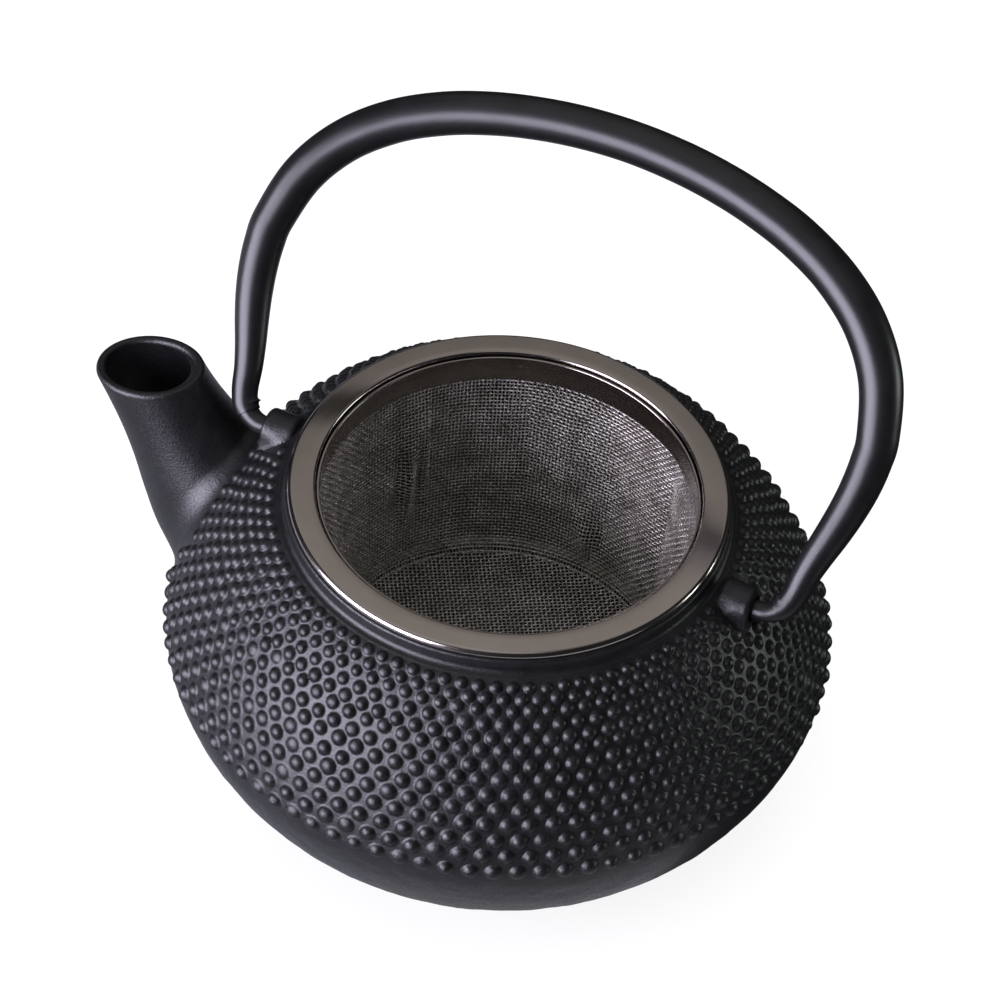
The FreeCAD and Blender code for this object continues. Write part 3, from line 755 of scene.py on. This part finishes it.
def dented(azimuth, height):
    push = 0.22 * softNoise(np.stack([31 * np.cos(azimuth), 31 * np.sin(azimuth), height * 0.6], -1), 9.0, 41)
    for middle, level, wide, tall, depth in dents:
        aside = (np.degrees(azimuth) - middle + 180) % 360 - 180
        push = push + depth * np.exp(-np.abs(aside / wide) ** 1.5 - ((height - level) / tall) ** 2)
    # the sheet's own end, lapped over itself
    past = np.degrees(azimuth) - weave["lapAzimuth"]
    push = push - weave["lapStep"] * (past > 0) * np.exp(-(past / 12) ** 2) * np.clip((height - 33) / 8, 0, 1)
    w = weave
    held = np.clip((w["top"] - 1.5 - height) / 7, 0, 1) * np.clip((height - w["bottom"] + 0.5) / 6, 0, 1)
    return push * held


def wallRadius(azimuth, height):
    w = weave
    level = np.clip((height - w["bottom"]) / (w["top"] - 1 - w["bottom"]), 0, 1)
    corner = 0.9 * np.exp(-(height - w["bottom"]) / 0.9)
    return w["footRadius"] + (w["topRadius"] - w["footRadius"]) * level + dented(azimuth, height) - corner


def skinWires(paths, outward, thick=1.0):
    # paths is wires x points x 3; every wire becomes a closed four-sided bar
    along = unit(np.gradient(paths, axis=1))
    side = unit(np.cross(outward, along))
    other = np.cross(along, side)
    r = weave["wire"] * thick
    rings = np.stack([paths + r * side, paths + r * other, paths - r * side, paths - r * other], 2)
    wires, steps = paths.shape[:2]
    index = np.arange(wires * steps * 4).reshape(wires, steps, 4)
    a, b = index[:, :-1], index[:, 1:]
    quads = np.stack([a, np.roll(a, -1, 2), np.roll(b, -1, 2), b], -1).reshape(-1, 4)
    caps = np.concatenate([index[:, 0, ::-1], index[:, -1]])
    return rings.reshape(-1, 3) * mm, [quads, caps]


def joinSkins(skins):
    points, faceSets, count = [], [], 0
    for some, sets in skins:
        points.append(some)
        faceSets += [faces + count for faces in sets]
        count += len(some)
    return np.concatenate(points), faceSets


def weaveWall(radiusOf, bottom, top):
    # plain weave: each wire passes over and under its neighbours in turn
    w = weave
    uprights, roundStep, swing = w["uprights"], w["roundStep"], w["wire"] * w["swingOfWire"]
    rounds = int((top - bottom) / roundStep)
    column = np.arange(uprights)[:, None]
    ring = np.arange(rounds)[:, None]

    def bentWires(azimuth, level, wave, thick):
        radius = radiusOf(azimuth, level) + wave
        paths = np.stack([radius * np.cos(azimuth), radius * np.sin(azimuth), level], -1)
        return skinWires(paths, np.stack([np.cos(azimuth), np.sin(azimuth), 0 * azimuth], -1), thick)

    # uprights, bent out or in half way between two hoops
    steps = np.arange(rounds * 2 + 1)[None, :] / 2
    azimuth = column * 2 * math.pi / uprights + 0 * steps
    level = bottom + roundStep * steps + 0 * azimuth
    outside = np.where((np.floor(steps) + column) % 2 == 0, 1, -1)
    standing = bentWires(azimuth, level, swing * outside * np.sin((steps % 1) * math.pi), w["uprightThick"])
    # hoops, bent the other way at every upright
    turn = np.arange(uprights * 2 + 1)[None, :] / 2
    level = bottom + roundStep * (ring + 0.5) + 0 * turn
    azimuth = turn * 2 * math.pi / uprights + 0 * level
    outside = np.where(ring % 2 == 0, 1, -1)
    return [standing, bentWires(azimuth, level, -swing * np.cos(turn * math.pi) * outside, w["hoopThick"])]


wallSkin = joinSkins(weaveWall(wallRadius, weave["bottom"], weave["top"]))
wallPiece = makePiece("infuserWall", wallSkin, wireFinish)
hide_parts("infuser_wall_mesh")


def weaveFloor():
    w = weave
    step, limit, swing = w["floorStep"], w["floorRadius"], w["wire"] * w["swingOfWire"]
    count = int(limit / step)
    skins = []
    turn = math.radians(w["floorTurn"])
    spin = np.array([[math.cos(turn), math.sin(turn), 0], [-math.sin(turn), math.cos(turn), 0], [0, 0, 1]])
    for direction in (0, 1):
        for n in range(-count, count + 1):
            reach = math.sqrt(max(limit**2 - (n * step) ** 2, 0))
            if reach < 2 * step:
                continue
            cross = np.arange(-math.floor(reach / step) * 2, math.floor(reach / step) * 2 + 1) / 2
            wave = swing * np.cos((cross + n + direction) * math.pi)
            run = cross * step
            aside = np.full(len(run), n * step)
            flat = (run, aside) if direction == 0 else (aside, run)
            sag = 0.35 * softNoise(np.stack([flat[0], flat[1], 0 * run], -1), 11.0, 51)
            sag += 0.5 * np.exp(-((np.hypot(*flat) - limit) / 2.0) ** 2)  # turned up at its edge
            path = np.stack([flat[0], flat[1], w["floorHeight"] + wave + sag * 0.6], -1) @ spin
            skins.append(skinWires(path[None], np.array([0, 0, 1.0])))
    return skins


def edgeRadius(azimuth, height):
    return weave["edgeRadius"] + 0 * azimuth


edgeSkins = weaveWall(edgeRadius, weave["edgeBottom"], weave["edgeTop"])
floorPiece = makePiece("infuserFloor", joinSkins(weaveFloor() + edgeSkins), wireFinish)
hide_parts("infuser_floor_mesh")
for piece in (wallPiece, floorPiece):
    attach(piece, "infuser")
print("infuser:", len(wallPiece.data.polygons) + len(floorPiece.data.polygons), "wire faces")


# table, light and camera

studio = {
    "tableWidth": 6.0, "tableColour": (0.15, 0.15, 0.15), "tableRough": 0.22, "tableGlow": 0.86,
    "worldColour": (0.62, 0.64, 0.7), "worldStrength": 0.035,
}
tableFinish, _, _, tableShader, _ = newFinish("paleTable", {"Specular IOR Level": 0.35})
tableShader.inputs["Base Color"].default_value = (*studio["tableColour"], 1)
tableShader.inputs["Roughness"].default_value = studio["tableRough"]
tableShader.inputs["Emission Color"].default_value = (1, 1, 1, 1)
tableShader.inputs["Emission Strength"].default_value = studio["tableGlow"]
corners = np.array([(-1, -1, 0), (1, -1, 0), (1, 1, 0), (-1, 1, 0)]) * studio["tableWidth"] / 2
tablePiece = makePiece("table", (corners, [np.array([[0, 1, 2, 3]])]), tableFinish)
tablePiece.visible_glossy = False

world = bpy.data.worlds.new("studioAir")
world.use_nodes = True
background = world.node_tree.nodes["Background"]
background.inputs["Color"].default_value = (*studio["worldColour"], 1)
background.inputs["Strength"].default_value = studio["worldStrength"]
scene.world = world

# name, where, size, watts, colour, seen in reflections
lights = [
    ("softboxLeft", (-0.50, -0.70, 0.25), (0.94, 0.68), 26.5, (0.84, 0.82, 1.0), True),
    ("cardLeft", (-0.35, -0.22, 0.0015), (0.7, 0.75), 0.78, (0.84, 0.84, 1.0), True),
    ("cardFront", (0.125, -0.085, 0.0015), (0.25, 0.13), 0.047, (0.9, 0.9, 1.0), True),
    ("panelBack", (-0.31, 0.81, 0.96), (1.2, 1.0), 0.75, (1.0, 0.95, 0.91), True),
    ("panelHigh", (-0.174, 0.446, 1.226), (1.2, 1.0), 0.6, (1.0, 0.95, 0.91), True),
    ("panelRight", (0.72, 0.42, 0.12), (0.3, 0.24), 1.3, (0.92, 1.0, 0.96), True),
    ("ceiling", (-0.3, -0.25, 1.5), (1.3, 1.3), 1.8, (1.0, 0.98, 0.96), True),
    ("skyPanel", (0.0, 0.0, 1.6), (2.2, 2.2), 48.0, (1.0, 1.0, 1.0), False),
]
aim = Vector((0, 0, 0.04))
for name, place, size, watts, colour, glossy in lights:
    data = bpy.data.lights.new(name, "AREA")
    data.shape = "RECTANGLE"
    data.size, data.size_y = size
    data.energy = watts
    data.color = colour
    lamp = bpy.data.objects.new(name, data)
    lamp.location = place
    toward = aim - Vector(place) if place[2] > 0.01 else Vector((0, 0, 1))  # the cards lie face up
    lamp.rotation_euler = toward.to_track_quat("-Z", "Y").to_euler()
    lamp.visible_glossy = glossy
    lamp.visible_camera = False
    scene.collection.objects.link(lamp)

view = {"down": 46.241, "turn": -21.27, "roll": 4.819, "lens": 174.0, "offset": (1.501, -1.775, 772.144)}
down, turn, roll = [math.radians(view[key]) for key in ("down", "turn", "roll")]
ahead = np.array([0, math.cos(down), -math.sin(down)])
right = np.array([1.0, 0, 0])
axes = np.stack([right, np.cross(ahead, right), ahead])
turned = np.array([[math.cos(turn), -math.sin(turn), 0], [math.sin(turn), math.cos(turn), 0], [0, 0, 1]])
rolled = np.array([[math.cos(roll), -math.sin(roll), 0], [math.sin(roll), math.cos(roll), 0], [0, 0, 1]])
axes = rolled @ axes @ turned
eye = np.array([0, 0, ringTop]) - axes.T @ np.array(view["offset"]) * mm
cameraData = bpy.data.cameras.new("camera")
cameraData.lens = view["lens"]
cameraData.clip_start = 0.05
camera = bpy.data.objects.new("camera", cameraData)
camera.matrix_world = Matrix([
    [axes[0, k], -axes[1, k], -axes[2, k], eye[k]] for k in range(3)] + [[0, 0, 0, 1]])
scene.collection.objects.link(camera)
scene.camera = camera
scene.view_settings.view_transform = "Standard"
